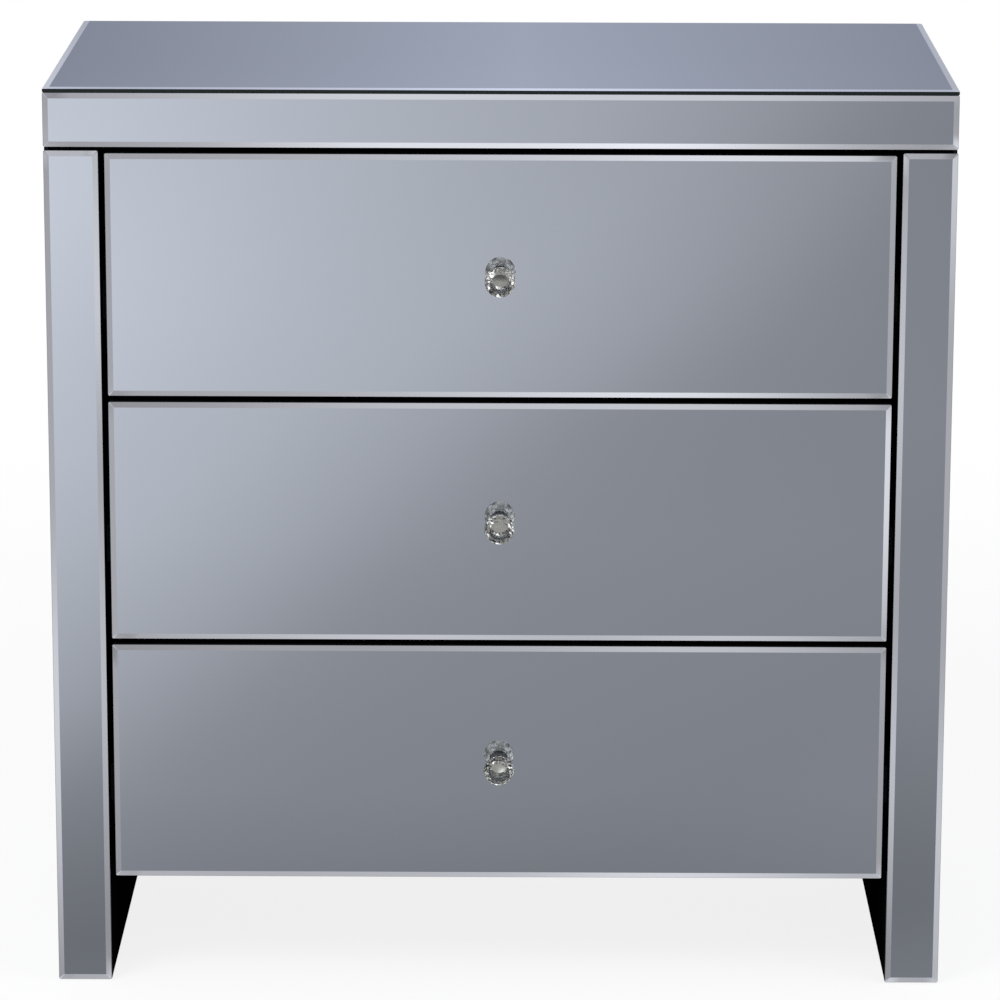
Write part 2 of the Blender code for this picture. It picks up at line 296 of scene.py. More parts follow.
@dataclass(frozen=True)
class SilveredMirror(Finish):
    """Float glass silvered on its back: a cool, nearly perfect reflection.

    Drawn as the silver itself in the glass's tint. Long shallow ripples of the float line bend the
    reflection a little, and wiped smears give it the faintest haze. No pane is bedded quite true, so its
    face looks off by lean_deg to the right and up.
    """

    name: str = "silvered_float_glass"
    colours: Codes = ("#E6EAEE",)
    roughness: Numbers = (0.012, 0.035)
    sheen: Noise = Noise(70.0, 4.0, 0.45, 0.75)
    relief: Noise = Noise(260.0, 0.5)
    relief_mm: float = 0.10
    settings: Settings = METAL
    lean_deg: tuple[float, float] = (0.0, 0.0)

    def facing(self, tree: Tree) -> dict[str, Node]:
        """The pane's own direction, leaned to the right and up."""
        right, rise = (math.radians(part) for part in self.lean_deg)
        square = add(tree, "NewGeometry").outputs["Normal"]
        leaning = add(tree, "VectorMath", {0: square, 1: (right, 0.0, rise)}, operation="ADD")
        return {"Normal": add(tree, "VectorMath", {0: leaning}, operation="NORMALIZE")}


@dataclass(frozen=True)
class GroundBevel(Finish):
    """The same silvered glass where its front was ground to a slope: a touch hazier and less cool, with
    faint waves left by the polishing lap."""

    name: str = "polished_glass_bevel"
    colours: Codes = ("#F0EFEE",)
    roughness: Numbers = (0.10,)
    relief: Noise = Noise(6.0, 1.0)
    relief_mm: float = 0.002
    settings: Settings = METAL


@dataclass(frozen=True)
class GlassEdge(Finish):
    """The seamed edge of clear glass over black adhesive: dark bottle green with a wet shine, mottled by the
    seaming belt."""

    name: str = "seamed_glass_edge"
    colours: Codes = ("#070D0D", "#172120")
    roughness: Numbers = (0.22,)
    tone: Noise = Noise(1.2, 3.0)
    settings: Settings = (*DULL_GLOSS, ("IOR", 1.52))


@dataclass(frozen=True)
class BackingPaint(Finish):
    """The grey lacquer that protects the silver: matt, and seen only past a glass edge."""

    name: str = "mirror_backing_paint"
    colours: Codes = ("#33363A",)
    roughness: Numbers = (0.6,)
    relief: Noise = Noise(2.0)
    relief_mm: float = 0.01


@dataclass(frozen=True)
class SatinLacquer(Finish):
    """Fibreboard in sprayed black lacquer: a low satin sheen over fine orange peel, with slow changes of
    sheen from uneven spraying."""

    name: str = "satin_black_lacquer"
    colours: Codes = ("#070809", "#101113")
    roughness: Numbers = (0.55, 0.70)
    tone: Noise = Noise(120.0, 5.0)
    sheen: Noise = Noise(120.0, 5.0, 0.3, 0.7)
    relief: Noise = Noise(1.6)
    relief_mm: float = 0.012
    settings: Settings = (("Specular IOR Level", 0.12),)


@dataclass(frozen=True)
class MattPrimer(SatinLacquer):
    """The carcass boards' one dusty coat of matt black, which swallows light even along the surface; their
    rear edges are a little greyer, partly from a coat of lacquer there and partly as a painted sheen that
    stands in for that lacquer's gloss."""

    name: str = "matt_black_primer"
    colours: Codes = ("#040405", "#090A0B")
    roughness: Numbers = (0.85, 0.95)
    relief: Noise = Noise(1.0)
    relief_mm: float = 0.03
    settings: Settings = (("Specular IOR Level", 0.0),)
    # the rear edges' lighter grey: partly lacquer, partly a painted sheen in place of its gloss
    rear_lacquer_and_sheen: str = "#1B1C1E"
    rear_lacquer_and_sheen_behind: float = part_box("left_side_slab")[1].y - 0.5 * MM

    def colour(self, tree: Tree) -> Socket:
        """The primer's blend of blacks, and behind that depth a lighter grey, partly lacquer and partly
        painted sheen.
        """
        place = add(tree, "TexCoord").outputs["Object"]
        depth = add(tree, "SeparateXYZ", {"Vector": place}).outputs["Y"]
        behind = add(tree, "Math", {0: depth, 1: self.rear_lacquer_and_sheen_behind}, operation="GREATER_THAN")
        # behind that depth the boards turn lighter grey: partly lacquer, partly painted sheen
        blend = {"Factor": behind, "A": super().colour(tree), "B": linear(self.rear_lacquer_and_sheen)}
        return add(tree, "Mix", blend, data_type="RGBA").outputs[BLENDED]


PORES = Noise((90.0, 90.0, 2.6), 4.0, 0.45, 0.68, soft=True)


@dataclass(frozen=True)
class AshFoil(Finish):
    """Board wrapped in printed black ash foil: long pores that catch a little light, running with the board.

    The pores are drawn at twice their real width, so that they show.
    """

    name: str = "black_ash_foil"
    colours: Codes = ("#0B0C0D", "#2E2F31")
    roughness: Numbers = (0.46,)
    tone: Noise = PORES
    relief: Noise = PORES
    relief_mm: float = 0.05
    relief_strength: float = 0.6


FIBRES = Noise(0.7)


@dataclass(frozen=True)
class FlockLining(Finish):
    """Flocked velour glued in the drawer: soft, lightless, with brushed patches and a pale fringe at low
    angles. Its fibres are drawn at 0.7 mm, coarser than real ones, so that they show."""

    name: str = "flocked_lining"
    colours: Codes = ("#131416", "#222326")
    roughness: Numbers = (0.95,)
    tone: Noise = Noise(60.0, 3.0, 0.12, 0.42, times=FIBRES)
    relief: Noise = FIBRES
    relief_mm: float = 0.25
    relief_strength: float = 0.7
    settings: Settings = (("Sheen Weight", 0.35), ("Sheen Roughness", 0.4))


@dataclass(frozen=True)
class Hardboard(Finish):
    """The back's painted hardboard: flat black with slow clouds of dust, and the mesh of the press, drawn
    coarse so that it shows."""

    name: str = "painted_hardboard"
    colours: Codes = ("#0C0D0E", "#242527")
    roughness: Numbers = (0.72,)
    tone: Noise = Noise(90.0, 6.0, 0.3, 0.7)
    relief_mm: float = 0.08
    relief_strength: float = 0.25
    settings: Settings = DULL_GLOSS
    mesh_mm: float = 4.0
    least_dust: float = 0.1
    most_dust: float = 0.7
    ridge_lightening: float = 0.14

    def height(self, tree: Tree) -> Node:
        """The mesh: the sum of two crossed sine waves."""
        place = add(tree, "TexCoord").outputs["Object"]
        axes = add(tree, "SeparateXYZ", {"Vector": place}).outputs
        pitch = TURN / (self.mesh_mm * MM)
        phases = [add(tree, "Math", {0: axes[axis], 1: pitch}, operation="MULTIPLY") for axis in ("X", "Z")]
        across, up = (add(tree, "Math", {0: phase}, operation="SINE") for phase in phases)
        return add(tree, "Math", {0: across, 1: up}, operation="ADD")

    def colour(self, tree: Tree) -> Socket:
        """Black, with the dust's clouds, and a little lighter on the mesh's ridges, by their height."""
        clouds = {"Value": self.tone.build(tree), "To Min": self.least_dust, "To Max": self.most_dust}
        # the higher the mesh stands, the lighter it is drawn
        ridges = {0: self.height(tree), 1: self.ridge_lightening, 2: add(tree, "MapRange", clouds)}
        return self.blend(tree, add(tree, "Math", ridges, operation="MULTIPLY_ADD"))


GREASE = Noise(14.0, 4.0)


@dataclass(frozen=True)
class BlackCoat(Finish):
    """Cold-rolled steel dipped in black electrophoretic paint: smooth, half matt, and faintly grey in
    patches where grease has spread."""

    name: str = "black_coated_steel"
    colours: Codes = ("#0B0C0D", "#1B1C1E")
    roughness: Numbers = (0.34, 0.55)
    tone: Noise = GREASE
    sheen: Noise = GREASE
    relief: Noise = Noise(0.8, 1.0)
    relief_mm: float = 0.01
    settings: Settings = DULL_GLOSS


ROLLING = Noise((0.5, 60.0, 0.5))


@dataclass(frozen=True)
class ZincPlate(Finish):
    """Steel in bright zinc: a soft grey gleam, faint rolling lines from front to back and cloudy
    passivation."""

    name: str = "bright_zinc_plate"
    colours: Codes = ("#B9BEC4", "#C4C1B6")
    roughness: Numbers = (0.24, 0.38)
    tone: Noise = Noise(18.0, 3.0)
    sheen: Noise = ROLLING
    relief: Noise = ROLLING
    relief_mm: float = 0.004
    settings: Settings = METAL


@dataclass(frozen=True)
class SmokedChrome(Finish):
    """Turned brass plated over black nickel: a hard dark shine, hazed a little where fingers touch it. Its
    dark tint is partly painted shade, darkening all that the cup reflects so that its waist stays dark
    against the mirror."""

    name: str = "smoked_chrome"
    # a dark metal tint, partly painted shade that keeps the cup's waist dark
    colours: Codes = ("#585A5B",)
    roughness: Numbers = (0.04, 0.10)
    sheen: Noise = Noise(5.0)
    settings: Settings = METAL


@dataclass(frozen=True)
class CutCrystal(Finish):
    """Clear cut crystal: water-white glass of high index, so that its facets throw light and dark patches."""

    name: str = "cut_crystal_glass"
    colours: Codes = ("#FBFDFD",)
    roughness: Numbers = (0.0,)
    settings: Settings = (("IOR", 1.56), ("Transmission Weight", 1.0))


@dataclass(frozen=True)
class FoiledBack(Finish):
    """Silver foil painted on the crystal's back: seen from behind a smooth grey gleam, uneven from the brush,
    and through the front a dull mirror that turns the light back out of the facets."""

    name: str = "foiled_crystal_back"
    colours: Codes = ("#BEC0C3",)
    roughness: Numbers = (0.26, 0.36)
    sheen: Noise = Noise(4.0)
    settings: Settings = METAL


@dataclass(frozen=True)
class SilverSeat(FoiledBack):
    """Silver leaf on the face of the cup that the crystal is glued to, which fills the table with soft
    light."""

    name: str = "silver_leaf_seat"
    colours: Codes = ("#EFEEED",)
    roughness: Numbers = (0.05, 0.10)


@functools.cache
def material_of(finish: Finish) -> Material:
    """The material of a finish, built the first time that it is asked for."""
    return finish.material()


def mesh_piece(
    name: str,
    points: Array,
    faces: Sequence[Sequence[int]],
    finishes: Sequence[Finish],
    body: str,
    slot: Slot,
    replaces: str = "",
    face_finish: Optional[Array] = None,
    smooth_deg: float = 0.0,
    rounded: Optional[Array] = None,
) -> None:
    """Puts a computed surface into the scene as a finished piece, in place and riding on its body.

    Args:
        name: the piece's name.
        points: its vertices in the frame, (n, 3).
        faces: rings of vertex numbers, turned so that they face outwards.
        finishes: its finishes, in slot order.
        body: the body that carries it.
        slot: the record's slot that the piece stands for; not used.
        replaces: the solid that it stands for.
        face_finish: the finish number of each face, where there are several.
        smooth_deg: edges flatter than this are shaded smooth; 0 keeps every facet.
        rounded: for each face, whether it is shaded smooth with its like neighbours, in place of smooth_deg.
    """
    mesh = bpy.data.meshes.new(name)
    mesh.from_pydata(points.tolist(), [], [list(map(int, face)) for face in faces])
    for finish in finishes:
        mesh.materials.append(material_of(finish))
    if face_finish is not None:
        mesh.polygons.foreach_set("material_index", face_finish.astype(np.int32))
    if smooth_deg > 0.0:
        mesh.shade_smooth()
        mesh.set_sharp_from_angle(angle=math.radians(smooth_deg))
    if rounded is not None:
        mesh.polygons.foreach_set("use_smooth", rounded.astype(bool))
    mesh.update()
    obj = bpy.data.objects.new(name, mesh)
    bpy.context.scene.collection.objects.link(obj)
    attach(obj, body)
    if replaces:
        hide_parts(replaces)
    LOG.info("%s: %d faces on %s", name, len(faces), body)


def dress(node: str, finish: Finish) -> None:
    """Gives a solid of the frame its finish.

    Args:
        node: the solid's name.
        finish: what it is made of.
    """
    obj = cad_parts[node]
    material = material_of(finish)
    if not obj.material_slots:
        obj.data.materials.append(material)
    for held in obj.material_slots:
        held.material = material
    LOG.info("%s: %s", node, material.name)


def rounded_outline(
    half_width: float, half_height: float, radius: float, steps: int, along: Sequence[int]
) -> Array:
    """A rectangle with rounded corners, anticlockwise.

    Each corner is a quarter circle about a centre that lies radius inside both sides: the point at angle t
    is the centre plus radius times (cos t, sin t). The straight side after it is cut into equal steps.

    Args:
        half_width: half its size across.
        half_height: half its size up.
        radius: of its corners.
        steps: points on each corner.
        along: points added on each horizontal and each upright side.

    Returns:
        The points, (4 * steps + 2 * sum(along), 2).
    """
    quarter = np.arange(4)[:, None] * (math.pi / 2)
    angle = quarter + np.linspace(0.0, math.pi / 2, steps)[None, :]
    side_x = np.array([1, -1, -1, 1])[:, None] * (half_width - radius)
    side_y = np.array([1, 1, -1, -1])[:, None] * (half_height - radius)
    corners = np.stack([side_x + radius * np.cos(angle), side_y + radius * np.sin(angle)], -1)
    parts = []
    for turn in range(4):
        share = np.linspace(0.0, 1.0, along[turn % 2] + 2)[1:-1, None]
        straight = (1 - share) * corners[turn, -1] + share * corners[(turn + 1) % 4, 0]
        parts += [corners[turn], straight]
    return np.concatenate(parts)


def ring_faces(rings: int, count: int, closed: bool) -> Array:
    """The four-cornered faces between rings of a grid whose rings each hold count points.

    Face (i, j) joins points j and j + 1 of ring i to those of ring i + 1, with j taken round the ring.

    Args:
        rings: number of rings.
        count: points in a ring.
        closed: whether the last ring joins back to the first.

    Returns:
        Vertex numbers, (faces, 4).
    """
    i, j = np.meshgrid(np.arange(rings if closed else rings - 1), np.arange(count), indexing="ij")
    after, around = (i + 1) % rings, (j + 1) % count
    corners = [i * count + j, i * count + around, after * count + around, after * count + j]
    return np.stack(corners, -1).reshape(-1, 4)


@dataclass
class MirrorPanel:
    """A bevelled mirror: glass slab, ground bevel, seamed edge and painted back, in place of a flat solid."""

    node: str
    body: str
    facing: Facing
    sway_deg: tuple[float, float, float, float] = (20.0, 200.0, 80.0, 300.0)
    lean_deg: tuple[float, float] = (0.0, 0.0)
    bevel: float = 5.0 * MM
    drop: float = 1.0 * MM
    sway: float = 0.14
    sway_length: float = 800.0 * MM
    seam: float = 0.25 * MM
    corner: float = 1.6 * MM
    mitre: float = 0.3 * MM
    hole: float = 0.0
    corner_steps: int = 7
    point_spacing: float = 22.0 * MM
    far_share: float = 1e-6

    def fall(self, outline: Array, half: Array) -> Array:
        """How far the bevel drops below the face along the outline.

        Each side was ground in a pass of its own, and the grinding head swayed a little, so that the
        bevel's shine changes along the side: at distance t from the side's middle it drops by
        drop times 1 + sway cos(2 pi t / sway_length + that side's angle). Round a corner the two sides'
        drops are mixed by how near the point is to either side; far_share is what a side far away counts.

        Args:
            outline: points round the panel, (n, 2).
            half: half the panel's size across and up.

        Returns:
            The drop at each point, (n,).
        """
        across, up = outline[:, 0], outline[:, 1]
        travel = np.stack([across, up, across, up], -1)
        gap = np.stack([half[1] - up, half[0] + across, half[1] + up, half[0] - across], -1)
        near = np.clip(1.0 - gap / self.corner, 0.0, 1.0) + self.far_share
        angle = TURN * travel / self.sway_length + np.radians(self.sway_deg)
        return self.drop * ((1.0 + self.sway * np.cos(angle)) * near).sum(1) / near.sum(1)

    def build(self) -> None:
        """Computes the panel as rings carried from its back, round its edge and over the bevel to its face.

        Ring k is a rounded rectangle drawn in by inset k from the solid's outline, at height k above the
        back. A panel with a screw hole goes on through the hole to its back again; one without is closed by
        two flat faces.
        """
        low, high = (np.array(corner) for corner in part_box(self.node))
        across, up, out = np.array(self.facing.value, float)
        half = np.abs([(high - low) @ across, (high - low) @ up]) / 2
        thickness = abs((high - low) @ out)
        along = np.ceil(2 * half / self.point_spacing).astype(int)
        outlines = [
            rounded_outline(*(half - inset), max(self.corner - inset, self.mitre), self.corner_steps, along)
            for inset in (self.seam, 0.0, 0.0, self.seam, self.bevel)
        ]
        outer = outlines[1]
        count = len(outer)
        back, face = np.zeros(count), np.full(count, thickness)
        edge = face - self.fall(outer, half)
        heights = [back, back + self.seam, edge - self.seam, edge, face]
        glass, seamed, ground, painted = range(4)
        bands = [seamed, seamed, seamed, ground]
        if self.hole:
            rim = self.hole * outer / np.linalg.norm(outer, axis=1, keepdims=True)
            outlines += [rim, rim]
            heights += [face, back]
            bands += [glass, seamed, painted]
        rings = len(outlines)
        faces = ring_faces(rings, count, closed=bool(self.hole)).tolist()
        finish = np.repeat(bands, count)
        if not self.hole:
            faces += [list(range((rings - 1) * count, rings * count)), list(range(count))[::-1]]
            finish = np.append(finish, [glass, painted])
        local = np.concatenate([np.column_stack(ring) for ring in zip(outlines, heights)])
        mesh_piece(
            f"{self.node}_glass", self.facing.place(local, (low + high) / 2 - out * thickness / 2), faces,
            [SilveredMirror(lean_deg=self.lean_deg), GlassEdge(), GroundBevel(), BackingPaint()], self.body,
            Slot.MIRROR, replaces=self.node, face_finish=finish, smooth_deg=6.0
        )


def lathe(
    profile: Array, segments: int, cut: Optional[Callable[[Array, Array], Array]] = None
) -> tuple[Array, Faces]:
    """Turns a profile about the local out axis.

    The point of profile station i at angle t is (r cos t, r sin t, h), with h less what cut takes off there.
    The profile starts on the axis at the top and ends on the axis at the bottom; each end is one shared pole.

    Args:
        profile: (radius, height) stations from the top pole to the bottom pole.
        segments: steps round the axis.
        cut: depth taken off a point, from the arrays of radius and angle.

    Returns:
        The points, local, and the faces, which look outwards.
    """
    inner = profile[1:-1][::-1]
    angle = np.arange(segments) * (TURN / segments)
    radius, theta = np.meshgrid(inner[:, 0], angle, indexing="ij")
    height = np.repeat(inner[:, 1][:, None], segments, 1)
    crown = profile[0, 1]
    if cut is not None:
        height = height - cut(radius, theta)
        crown -= float(cut(np.zeros(1), np.zeros(1))[0])
    points = np.stack([radius * np.cos(theta), radius * np.sin(theta), height], -1).reshape(-1, 3)
    poles = np.array([[0.0, 0.0, profile[-1, 1]], [0.0, 0.0, crown]])
    faces = ring_faces(len(inner), segments, closed=False).tolist()
    bottom, top = len(points), len(points) + 1
    last = (len(inner) - 1) * segments
    around = [(j, (j + 1) % segments) for j in range(segments)]
    faces += [[bottom, k, j] for j, k in around]
    faces += [[top, last + j, last + k] for j, k in around]
    return np.concatenate([points, poles]), faces


def eased(corners: Sequence[tuple[float, float]], radius: float, steps: int = 4) -> Array:
    """Rounds the corners of an open profile.

    Near each corner the line leaves its last stretch and joins the next on the curve
    (1-s)^2 A + 2s(1-s) C + s^2 B, where C is the corner and A and B lie radius from it, or two fifths of the
    stretch where that is less.

    Args:
        corners: the profile's points.
        radius: how far from a corner the easing starts.
        steps: points on each easing.

    Returns:
        The eased profile, (n, 2).
    """
    points = np.array(corners, float)
    here = points[1:-1]
    ends = []
    for stretch in (points[:-2] - here, points[2:] - here):
        length = np.linalg.norm(stretch, axis=1, keepdims=True)
        ends.append((here + stretch / length * np.minimum(radius, length * 0.4))[:, None])
    s = np.linspace(0.0, 1.0, steps)[None, :, None]
    curve = (1 - s) ** 2 * ends[0] + 2 * s * (1 - s) * here[:, None] + s**2 * ends[1]
    return np.concatenate([points[:1], curve.reshape(-1, 2), points[-1:]])


def carried(loop: Array, front: float, back: float) -> tuple[Array, Faces]:
    """Carries a closed section from front to back.

    Point j of the section stands at (x, front, z) and again at (x, back, z); a band of faces joins the two
    and two flat faces close the ends. A section that would turn them inside out is taken in reverse.

    Args:
        loop: the section's points, (x, z), in either sense.
        front: where it starts, along y.
        back: where it ends.

    Returns:
        The points and the faces, which look outwards.
    """
    if loop[:, 0] @ np.roll(loop[:, 1], -1) > loop[:, 1] @ np.roll(loop[:, 0], -1):
        loop = loop[::-1]
    count = len(loop)
    rings = [np.column_stack([loop[:, 0], np.full(count, y), loop[:, 1]]) for y in (front, back)]
    faces = ring_faces(2, count, closed=False).tolist()
    faces += [list(range(count))[::-1], list(range(count, 2 * count))]
    return np.concatenate(rings), faces


@dataclass
class PanHead:
    """A pan-head screw about its own axis, its head's crown at local zero and its tip at minus length.

    The crown is the arc h = -crown head (r / R)^2, with a cross sunk in it; below it come a rim, a flat seat
    and a plain shank. Sizes named share are parts of the head's radius or thickness.
    """

    radius: float
    head: float
    shank: float
    length: float
    crown_share: float = 0.45
    rim: tuple[tuple[float, float], ...] = ((1.0, 0.55), (1.0, 0.92), (0.97, 1.0))
    reach_share: float = 0.62
    sunk_share: float = 0.6
    arm_share: float = 0.13
    arm_softness: float = 0.3
    chamfer: tuple[float, float] = (0.4 * MM, 0.5 * MM)
    crown_edge: float = 0.96
    rings: int = 14
    segments: int = 48

    def recess(self, radius: Array, theta: Array) -> Array:
        """The depth that a cross-point driver takes out of the head.

        The full depth times a soft step that is 1 inside either arm of the cross and 0 outside it, falling
        off towards the tips of the arms as the square root of 1 - (r / reach)^2.

        Args:
            radius: of the points, from the axis.
            theta: their angle.

        Returns:
            The depth at each point.
        """
        reach, arm = self.radius * self.reach_share, self.radius * self.arm_share
        near = np.minimum(np.abs(radius * np.sin(theta)), np.abs(radius * np.cos(theta)))
        inside = np.clip((arm - near) / (self.arm_softness * arm) + 0.5, 0.0, 1.0)
        return self.head * self.sunk_share * inside * np.clip(1.0 - (radius / reach) ** 2, 0.0, 1.0) ** 0.5

    def shape(self) -> tuple[Array, Faces]:
        """Turns the screw.

        Returns:
            The points, local, and the faces.
        """
        radii = np.linspace(0.0, self.radius * self.crown_edge, self.rings)
        crown = np.column_stack([radii, -self.crown_share * self.head * (radii / self.radius) ** 2])
        narrower, shorter = self.chamfer
        lower = [(self.radius * out, -self.head * down) for out, down in self.rim] + [
            (self.shank, -self.head),
            (self.shank, -self.length + shorter),
            (self.shank - narrower, -self.length),
            (0.0, -self.length),
        ]
        return lathe(np.concatenate([crown, lower]), self.segments, self.recess)


def joined(shape: tuple[Array, Faces], facing: Facing, places: Sequence[Array]) -> tuple[Array, Faces]:
    """Repeats a local shape at several places as one mesh.

    Copy k is the shape's points, turned to face that way, plus place k; its faces' numbers are raised by k
    times the count of points.

    Args:
        shape: points and faces.
        facing: the way that its out axis points.
        places: where the copies go, each (3,).

    Returns:
        The points and faces of all copies.
    """
    points, faces = facing.place(shape[0], (0.0, 0.0, 0.0)), shape[1]
    spread = (np.array(places)[:, None, :] + points[None, :, :]).reshape(-1, 3)
    return spread, [[n + k * len(points) for n in face] for k in range(len(places)) for face in faces]


@dataclass
class CrystalKnob:
    """A drawer's knob: cut crystal in a turned cup, with the screw that holds it from inside the drawer.

    The rows of the crystal's cut are each a share of its radius and of its rise from back to table.
    """

    drawer: str
    sides: int = 18
    crystal_radius: float = 13.5 * MM
    back_radius: float = 7.8 * MM
    table_radius: float = 8.8 * MM
    rows: tuple[tuple[float, float], ...] = (
        (0.76, 0.26),
        (1.0, 0.56),
        (1.0, 0.64),
        (0.95, 0.76),
        (0.83, 0.89),
    )
    foiled_rows: int = 2
    cup_radius: float = 8.6 * MM
    cup_reach: float = 11.0 * MM
    rosette_radius: float = 9.0 * MM
    rosette_thickness: float = 1.8 * MM
    neck_radius: float = 4.2 * MM
    seat: float = 0.3 * MM
    bore: float = 2.4 * MM
    grip: float = 6.5 * MM
    screw_head: float = 2.4 * MM
    screw_shank: float = 2.0 * MM
    easing: float = 0.9 * MM
    cup_segments: int = 64

    def centre(self) -> Array:
        """The point on the drawer's mirror where the knob's axis meets it."""
        low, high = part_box(f"{self.drawer}_mirror")
        return np.array([(low.x + high.x) / 2, low.y, (low.z + high.z) / 2])

    def build_crystal(self) -> None:
        """Computes the crystal as rings of points, each turned half a step from the last.

        Point j of ring k is r_k (cos t, sin t) at reach h_k, with t = (j + k / 2) steps of a full turn.
        Triangles join the rings, so the front is cut in flat kites, and the two ends are flat faces. The
        rows from the cup to the rim are moulded round and foiled, and so shaded smooth.
        """
        node = f"{self.drawer}_knob_crystal"
        base = self.cup_reach + self.seat
        rise = self.centre()[1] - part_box(node)[0].y - base
        cut = np.array([(self.crystal_radius * out, up) for out, up in self.rows])
        radius, share = np.vstack([(self.back_radius, 0.0), cut, (self.table_radius, 1.0)]).T[:, :, None]
        j, ring = np.arange(self.sides)[None, :], np.arange(len(radius))[:, None]
        angle = ring * (math.pi / self.sides) + j * (TURN / self.sides)
        reach = np.repeat(base + rise * share, self.sides, 1)
        local = np.stack([radius * np.cos(angle), radius * np.sin(angle), reach], -1).reshape(-1, 3)
        lower = ring[:-1] * self.sides
        upper, after = lower + self.sides, (j + 1) % self.sides
        leaning = np.stack([lower + j, lower + after, upper + j], -1)
        filling = np.stack([lower + after, upper + after, upper + j], -1)
        count = len(local)
        faces = [list(range(self.sides))[::-1]]
        faces += np.stack([leaning, filling], 1).reshape(-1, 3).tolist()
        faces.append(list(range(count - self.sides, count)))
        rounded = np.zeros(len(faces), bool)
        rounded[1 : 1 + self.foiled_rows * 2 * self.sides] = True
        mesh_piece(
            f"{node}_cut", Facing.FRONT.place(local, self.centre()), faces, [CutCrystal(), FoiledBack()],
            self.drawer, Slot.CRYSTAL, replaces=node, face_finish=rounded, rounded=rounded
        )

    def build_cup(self) -> None:
        """Turns the cup, its waist and its rosette from one eased profile, with the screw's bore inside.

        The face that the crystal is glued to is silver leaf, and the rest smoked chrome.
        """
        reach, thick, grip = self.cup_reach, self.rosette_thickness, self.seat + self.grip
        outside = eased(
            [
                (0.0, reach),
                (self.cup_radius - 0.5 * MM, reach),
                (self.cup_radius, reach - 0.6 * MM),
                (self.cup_radius * 0.93, reach * 0.80),
                (self.neck_radius, reach * 0.58),
                (self.neck_radius, reach * 0.36),
                (self.rosette_radius * 0.62, thick * 1.25),
                (self.rosette_radius - 0.9 * MM, thick),
                (self.rosette_radius, thick * 0.55),
                (self.rosette_radius, self.seat),
                (self.bore, self.seat),
                (self.bore, grip),
                (0.0, grip),
            ],
            self.easing,
        )
        local, faces = lathe(outside, self.cup_segments)
        at_seat = local[:, 2] > reach - 0.1 * MM
        node = f"{self.drawer}_knob_cup"
        mesh_piece(
            f"{node}_turned", Facing.FRONT.place(local, self.centre()), faces,
            [SmokedChrome(), SilverSeat()], self.drawer, Slot.CHROME, replaces=node,
            face_finish=np.array([at_seat[face].all() for face in faces]), smooth_deg=40.0
        )

    def build_screw(self) -> None:
        """Turns the screw, its dished head cut with a cross."""
        node = f"{self.drawer}_knob_screw"
        low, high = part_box(node)
        screw = PanHead((high.x - low.x) / 2, self.screw_head, self.screw_shank, high.y - low.y)
        local, faces = screw.shape()
        centre = self.centre()
        mesh_piece(
            f"{node}_turned", Facing.BACK.place(local, (centre[0], high.y, centre[2])), faces,
            [ZincPlate()], self.drawer, Slot.ZINC, replaces=node, smooth_deg=35.0
        )

    def build(self) -> None:
        """Builds the knob's three pieces."""
        self.build_crystal()
        self.build_cup()
        self.build_screw()


@dataclass
class SlideChannel:
    """One bent-steel channel of a drawer slide, with rounded bends, in place of its square solid."""

    node: str
    body: str
    hand: int
    web_at_drawer: bool
    steel: float = 1.2 * MM
    bend: float = 2.2 * MM
    screw_radius: float = 3.1 * MM
    screw_head: float = 1.5 * MM
    screw_shank: float = 1.5 * MM
    screw_length: float = 9.0 * MM
    screw_inset: float = 36.0 * MM

    def build(self) -> None:
        """Computes the channel's section and carries it along the slide.

        The section runs down the back of the web, along the lower flange, round its free end, up the inside
        and back along the upper flange; its corners are eased.
        """
        low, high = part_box(self.node)
        web, lips = (high.x, low.x) if (self.hand > 0) != self.web_at_drawer else (low.x, high.x)
        inside = web + math.copysign(self.steel, lips - web)
        middle, top, under = (low.z + high.z) / 2, high.z, low.z
        corners = [(web, middle), (web, under), (lips, under), (lips, under + self.steel)]
        corners += [(inside, under + self.steel), (inside, top - self.steel), (lips, top - self.steel)]
        corners += [(lips, top), (web, top), (web, middle)]
        mesh_piece(
            f"{self.node}_bent", *carried(eased(corners, self.bend)[:-1], low.y, high.y), [BlackCoat()],
            self.body, Slot.BLACK_STEEL, replaces=self.node, smooth_deg=40.0
        )

    def build_screws(self) -> None:
        """Sets three pan-head screws in the web, at both ends and the middle, which fix it to the box."""
        low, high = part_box(self.node)
        facing = Facing.RIGHT if self.hand > 0 else Facing.LEFT
        screw = PanHead(self.screw_radius, self.screw_head, self.screw_shank, self.screw_length)
        web = low.x + self.steel if self.hand > 0 else high.x - self.steel
        crown = web + self.hand * self.screw_head
        depths = (low.y + self.screw_inset, (low.y + high.y) / 2, high.y - self.screw_inset)
        places = [np.array([crown, y, (low.z + high.z) / 2]) for y in depths]
        points, faces = joined(screw.shape(), facing, places)
        name = f"{self.node}_screws"
        mesh_piece(name, points, faces, [ZincPlate()], self.body, Slot.ZINC, smooth_deg=35.0)


@dataclass
class Drawer:
    """One drawer: its mirror, its knob and the finish of its box and slides."""

    name: str
    sway_deg: tuple[float, float, float, float]
    lean_deg: tuple[float, float]
    hole: float = 2.4 * MM

    def build(self) -> None:
        """Builds the drawer's pieces and dresses the solids that stay."""
        mirror = f"{self.name}_mirror"
        MirrorPanel(mirror, self.name, Facing.FRONT, self.sway_deg, self.lean_deg, hole=self.hole).build()
        CrystalKnob(self.name).build()
        dress(f"{self.name}_front_board", SatinLacquer())
        for board in ("left_side", "right_side", "back"):
            dress(f"{self.name}_{board}", AshFoil())
        dress(f"{self.name}_bottom", FlockLining())
        carriers = {"cabinet": "cabinet", "middle": f"{self.name}_slide_carriage", "drawer": self.name}
        for hand, sign in (("left", -1), ("right", 1)):
            for member, body in carriers.items():
                fixed = member == "drawer"
                channel = SlideChannel(f"{self.name}_{hand}_{member}_channel", body, sign, fixed)
                channel.build()
                if fixed:
                    channel.build_screws()


